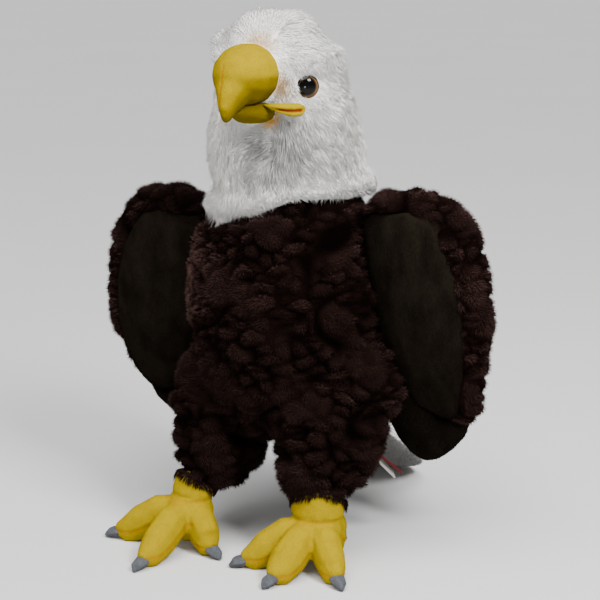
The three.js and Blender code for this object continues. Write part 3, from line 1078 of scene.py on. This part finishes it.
class EAGLE_OT_wings(bpy.types.Operator):
    """Both wings: furry backs, smooth fronts and smooth tips"""

    bl_idname = "eagle.wings"
    bl_label = "Wings"

    def execute(self, context):
        for seed, side in enumerate(SIDES, start=31):
            wing_back(side, seed)
            for part in ("lining", "tip"):
                wing_panel(side, part, seed)
        return {"FINISHED"}


# ---- The tail ----
def tail_shade(normals):
    """1 on the tail's shaded underside, 0 on its back."""
    return eased(-normals[:, 2], -0.2, 0.4)


class EAGLE_OT_tail(bpy.types.Operator):
    """The flat white tail, with short pile"""

    bl_idname = "eagle.tail"
    bl_label = "Tail"

    def execute(self, context):
        skin = sewn("tail_cloth", "tail", voxel=1.8 * MM, smoothing=6, swell=0.2 * MM)
        pushed(skin, np.full(len(skin.data.vertices), -1.6 * MM))
        points, (low, high) = points_of(skin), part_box("tail")
        spread = eased(points[:, 1], low.y, high.y) * eased(points[:, 0], middle("tail")[0], high.x)
        points[:, 0] += 7 * MM * spread
        place_points(skin, points)
        unwrapped(skin)
        roots = spread_roots(skin, 1.9 * MM, seed=51)
        roots = roots.where(clearance(roots.points, "trunk") > 1 * MM)
        rng = np.random.default_rng(52)
        sway = 0.35 * wobble(roots.points, 22 * MM, 53) + 0.25 * rng.normal(size=len(roots))
        lie = turned(along_surface(np.array([0, 1.0, -0.7]), roots.normals), roots.normals, sway)
        pile = sizes().tail_pile
        fields = flat_pile(rng, roots, lie, pile, (18, 8), (0.8, 0.4), thick=0.45 * MM, sink=0.4 * MM)
        fields["tone"] = (0.82 + 0.22 * fields["tone"]) * (1 - 0.8 * tail_shade(roots.normals))
        coat_pieces("tail_nap", skin, roots, tail_nap(), "tail_plush", fields)
        marked(skin, "under", tail_shade(normals_of(skin)))
        finished(skin, tail_cloth(), "tail_plush", "tail", fill=0.5)
        return {"FINISHED"}


# ---- The beak ----
def beak_upper(plush):
    """The hooked upper beak, with a seam down its front that runs a little to the right of its middle."""
    beak = sewn("beak_upper_plush", "beak_upper", voxel=1.2 * MM, smoothing=14, swell=0.5 * MM)
    points, (low, high) = points_of(beak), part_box("beak_upper")
    lean = 0.13
    off_middle = np.abs(points[:, 0] - BEAK_ROOT[0] + lean * (BEAK_ROOT[1] - points[:, 1]))
    front = falling(points[:, 1] - low.y, 14, 24) * rising(high.z - points[:, 2], 9, 14)
    seam = falling(off_middle, 0.3, 1.1) * front
    pushed(beak, -0.5 * MM * seam)
    # marks for painted shade in the seam's groove and on the faces that look down
    marked(beak, "seam", seam)
    marked(beak, "under", eased(-normals_of(beak)[:, 2], -0.3, 0.5))
    finished(beak, plush, "yellow_plush", "beak_upper", fill=0.9)


def beak_lower(plush):
    """The lower beak, wider at its left, in the shade of the upper one."""
    beak = sewn("beak_lower_plush", "beak_lower", voxel=1.0 * MM, swell=0.4 * MM)
    points = points_of(beak)
    points[:, 0] += 4.5 * MM * rising(points[:, 0] - middle("beak_lower")[0], 0, 12)
    place_points(beak, points)
    marked(beak, "under", np.ones(len(points)))
    finished(beak, plush, "yellow_plush", "beak_lower", fill=0.9)


def lip(side, hand, plush):
    """The corner of the mouth: a roll with an open groove along its outer face."""
    node = f"gape_{side}"
    roll = sewn(f"{node}_plush", node, voxel=0.8 * MM, smoothing=6, swell=0.4 * MM)
    outward = unit(np.array([hand * 0.55, -0.83, 0.0]))
    points, centre = points_of(roll), middle(node)
    along = np.clip(0.5 + hand * (points[:, 0] - centre[0]) / (24 * MM), 0, 1)
    girth = np.interp(along, [0, 0.35, 1], [0.5, 0.85, 1.15])
    points[:, 2] = centre[2] + (points[:, 2] - centre[2]) * girth + 2.0 * MM * (1 - along) ** 2
    points[:, 0] -= hand * (4 * MM * (1 - along) ** 2 + 2 * SUNK[side] * along)
    place_points(roll, points - outward * 1.4 * SUNK[side])
    height = points_of(roll)[:, 2] - centre[2]
    groove = eased(normals_of(roll) @ outward, 0.35, 0.85) * falling(np.abs(height + 0.2 * MM), 0.4, 2.4)
    pushed(roll, -2.6 * MM * groove)
    marked(roll, "inside", groove)
    finished(roll, plush, "yellow_plush", node)


class EAGLE_OT_beak(bpy.types.Operator):
    """The stuffed beak and the rolled corners of the mouth"""

    bl_idname = "eagle.beak"
    bl_label = "Beak"

    def execute(self, context):
        beak_upper(shared(yellow_plush))
        beak_lower(shared(yellow_plush))
        for side, hand in SIDES.items():
            lip(side, hand, shared(lip_plush))
        return {"FINISHED"}


# ---- The eyes ----
def eye(side, hand, material):
    """A flattened dome. Its ring attribute goes from the pupil, set a little inwards, to the black rim."""
    node = f"eye_{side}"
    low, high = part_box(node)
    growth = 1.14  # of the dome over its node
    edge, shift = 0.86, 0.22  # where the rim starts and how far the pupil is off the middle, in radii
    radius = (high.z - low.z) / 2 * growth
    outward = Vector((hand * 0.66, -0.75, -0.04)).normalized()
    centre = (low + high) / 2 + outward * (1.2 * MM - SUNK[side])
    bpy.ops.object.select_all(action="DESELECT")
    bpy.ops.mesh.primitive_uv_sphere_add(
        segments=64, ring_count=48, radius=radius, location=centre,
        rotation=outward.to_track_quat("Z", "Y").to_euler())
    ball = bpy.context.active_object
    ball.name = f"{node}_dome"
    bpy.ops.object.transform_apply(location=True, rotation=True, scale=True)
    points, centre, outward = points_of(ball), np.array(centre), np.array(outward)
    ahead = (points - centre) @ outward
    aside = np.sqrt(np.maximum(((points - centre) ** 2).sum(axis=1) - ahead**2, 0))
    rim = np.where(ahead > 0, aside / radius, 1.0)
    pupil = centre + shift * radius * np.array([-hand * 0.85, -0.4, 0.5])
    iris = np.linalg.norm(np.cross(points - pupil, outward), axis=1) / radius
    marked(ball, "ring", np.where(rim < edge, edge * iris, 1.0))
    flat = 0.4 + 0.1 * SUNK[side] / MM
    place_points(ball, points - np.outer(np.maximum(ahead, 0) * flat, outward))
    finished(ball, material, "eye_plastic", node)


class EAGLE_OT_eyes(bpy.types.Operator):
    """Glossy safety eyes"""

    bl_idname = "eagle.eyes"
    bl_label = "Eyes"

    def execute(self, context):
        for side, hand in SIDES.items():
            eye(side, hand, shared(safety_eye))
        return {"FINISHED"}


# ---- The feet ----
TOE_AXIS = ((0.0, 30), (0.42, 23), (0.78, 9), (1.0, 7.5))  # how far along a toe, and its axis's height in mm


def foot(side, seed):
    """Ankle and foot in one, tucked under the thigh, with a seam along the toes and a fold at the ankle."""
    ankle, sole, thigh = f"ankle_{side}", f"foot_{side}", f"thigh_{side}"
    skin = sewn(f"{sole}_plush", ankle, sole, voxel=1.4 * MM, swell=1.6 * MM)
    pushed(skin, -7 * MM * falling(clearance(points_of(skin), thigh), 0.3, 2.5))
    points, normals = points_of(skin), normals_of(skin)
    centre = middle(ankle)[:2]
    away = points[:, :2] - centre
    best, reach = np.full(len(points), -1.0), np.full(len(points), 1.0)
    for toe in TOES:
        run = middle(f"claw_{side}_{toe}")[:2] - centre
        match = unit(away) @ unit(run)
        reach[match > best] = np.linalg.norm(run)
        best = np.maximum(best, match)
    along = np.linalg.norm(away, axis=1) / reach
    axis_height = np.interp(along, *zip(*TOE_AXIS)) * MM
    sides = falling(np.abs(points[:, 2] - axis_height), 0.3, 1.8) * eased(1 - np.abs(normals[:, 2]), 0.2, 0.6)
    sides *= eased(along, 0.25, 0.4)
    fold = falling(np.abs(points[:, 2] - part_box(sole)[1].z), 0.3, 2.2)
    pushed(skin, -(0.5 * MM * sides + 0.8 * MM * fold))
    # mark for painted shade in the toes' seams and the ankle's fold
    marked(skin, "seam", 0.8 * np.maximum(sides, 0.3 * fold))
    marked(skin, "cuff", falling(clearance(points, thigh), 3.4, 4.4))
    flatten(skin, 0.2 * MM)
    unwrapped(skin)
    cuff(side, skin, seed)
    finished(skin, shared(yellow_plush), "yellow_plush", ankle, sole, fill=0.9)


def flatten(piece, floor):
    """Presses flat what would reach below this height."""
    points = points_of(piece)
    points[:, 2] = np.maximum(points[:, 2], floor)
    place_points(piece, points)


def cuff(side, skin, seed):
    """The ragged lower edge of the brown thigh, hanging over the ankle."""
    roots = spread_roots(skin, 0.7 * MM, seed=seed)
    rim = clearance(roots.points, f"thigh_{side}")
    roots = roots.where((rim > -1.5 * MM) & (rim < 4.2 * MM))
    rng = np.random.default_rng(seed + 10)
    total = len(roots)
    lie = along_surface(DOWN, roots.normals)
    ragged = 1 + 0.5 * wobble(roots.points, 7 * MM, seed + 20)
    coat_pieces(f"cuff_{side}", skin, roots, shared(brown_pile), "brown_pile", {
        "lie": turned(lie, roots.normals, 0.2 * rng.normal(size=total)),
        "lift": np.radians(14 + 12 * rng.random(total)),
        "reach": 5.5 * MM * np.clip(ragged, 0.7, 1.5),
        "thick": 0.32 * MM * (1 + 0.3 * rng.random(total)),
        "tone": 0.2 + 0.4 * rng.random(total),
    })


def claw(node):
    felt = sewn(f"{node}_felt", node, voxel=0.8 * MM, smoothing=3, swell=0.8 * MM)
    pushed(felt, 0.25 * MM * wobble(points_of(felt), 3 * MM, 81))
    flatten(felt, 0)
    finished(felt, shared(grey_felt), "grey_felt", node)


class EAGLE_OT_feet(bpy.types.Operator):
    """Ankles and feet in yellow plush, with their seams, and the felt claws"""

    bl_idname = "eagle.feet"
    bl_label = "Feet and claws"

    def execute(self, context):
        for seed, side in enumerate(SIDES, start=71):
            foot(side, seed)
            for toe in TOES:
                claw(f"claw_{side}_{toe}")
        return {"FINISHED"}


# ---- The labels ----
class EAGLE_OT_labels(bpy.types.Operator):
    """Two blank sewn-in labels"""

    bl_idname = "eagle.labels"
    bl_label = "Labels"

    def execute(self, context):
        for name, shade in (("label_white", "label"), ("label_red", "label_red")):
            piece = copy_of(f"{name}_ribbon", name)
            modified(piece, "REMESH", mode="VOXEL", voxel_size=0.35 * MM)
            modified(piece, "SMOOTH", factor=0.4, iterations=2)
            finished(piece, ribbon(f"{name}_satin", tint(shade)), name, name)
        return {"FINISHED"}


# ---- Stage ----
TARGET = Vector((34.33, -78.56, 203.5)) * MM
AZIMUTH, ELEVATION = math.radians(25), math.radians(14)
DISTANCE = 1.15
LENS_MM = 94.5


LAMPS = (  # name, place, where it points, watts and size
    ("key", (0.85, -0.51, 1.11), (0.03, -0.07, 0.30), 30, 0.4),
    ("fill", (-0.90, -0.90, 0.50), (0.0, -0.07, 0.24), 4, 0.6),
    ("sparkle", (0.65, -1.19, 0.20), (0.03, -0.07, 0.36), 3, 0.2),
)


def staged(name, data, way, place=(0, 0, 0)):
    """Sets up a light or the camera, looking along way."""
    item = bpy.data.objects.new(name, data)
    item.location = place
    item.rotation_euler = way.to_track_quat("-Z", "Y").to_euler()
    bpy.context.scene.collection.objects.link(item)
    return item


class EAGLE_OT_stage(bpy.types.Operator):
    """A pale floor, soft studio light and the camera"""

    bl_idname = "eagle.stage"
    bl_label = "Stage"

    def execute(self, context):
        bpy.ops.object.select_all(action="DESELECT")
        bpy.ops.mesh.primitive_plane_add(size=40, location=(0, 0, 0))
        floor = bpy.context.active_object
        floor.name = "floor"
        floor.data.materials.append(floor_finish())
        world = bpy.data.worlds.new("studio")
        world.use_nodes = True
        world.node_tree.nodes["Background"].inputs["Color"].default_value = (1.0, 0.99, 0.97, 1)
        world.node_tree.nodes["Background"].inputs["Strength"].default_value = 0.3
        context.scene.world = world
        sun = bpy.data.lights.new("ceiling", "SUN")
        sun.energy, sun.angle = 3.9, math.radians(45)
        staged("ceiling", sun, Vector((-0.05, 0.6, -1.6)))
        for name, place, aim, watts, size in LAMPS:
            lamp = bpy.data.lights.new(name, "AREA")
            lamp.energy, lamp.size = watts, size
            staged(name, lamp, Vector(aim) - Vector(place), place)
        lens = bpy.data.cameras.new("camera")
        lens.lens, lens.sensor_width = LENS_MM, 36
        flat = math.cos(ELEVATION)
        back = Vector((math.sin(AZIMUTH) * flat, -math.cos(AZIMUTH) * flat, math.sin(ELEVATION)))
        context.scene.camera = staged("camera", lens, -back, TARGET + back * DISTANCE)
        return {"FINISHED"}


class EAGLE_PT_panel(bpy.types.Panel):
    """Lists the eagle's pieces in the sidebar"""

    bl_idname = "EAGLE_PT_panel"
    bl_label = "Plush eagle"
    bl_space_type = "VIEW_3D"
    bl_region_type = "UI"
    bl_category = "Plush eagle"

    def draw(self, context):
        for operator in OPERATORS:
            self.layout.operator(operator.bl_idname)
        for group in (context.scene.eagle_sizes, context.scene.eagle_colours):
            for name in group.__annotations__:
                self.layout.prop(group, name)


OPERATORS = (
    EAGLE_OT_stage, EAGLE_OT_hood, EAGLE_OT_body, EAGLE_OT_wings, EAGLE_OT_tail,
    EAGLE_OT_beak, EAGLE_OT_eyes, EAGLE_OT_feet, EAGLE_OT_labels,
)
CLASSES = (EagleSizes, EagleColours, *OPERATORS, EAGLE_PT_panel)


def register():
    for cls in CLASSES:
        bpy.utils.register_class(cls)
    bpy.types.Scene.eagle_sizes = bpy.props.PointerProperty(type=EagleSizes)
    bpy.types.Scene.eagle_colours = bpy.props.PointerProperty(type=EagleColours)


def unregister():
    del bpy.types.Scene.eagle_colours
    del bpy.types.Scene.eagle_sizes
    for cls in reversed(CLASSES):
        bpy.utils.unregister_class(cls)


def main():
    register()
    for operator in OPERATORS:
        group, name = operator.bl_idname.split(".")
        getattr(getattr(bpy.ops, group), name)()


if __name__ == "__main__":
    main()
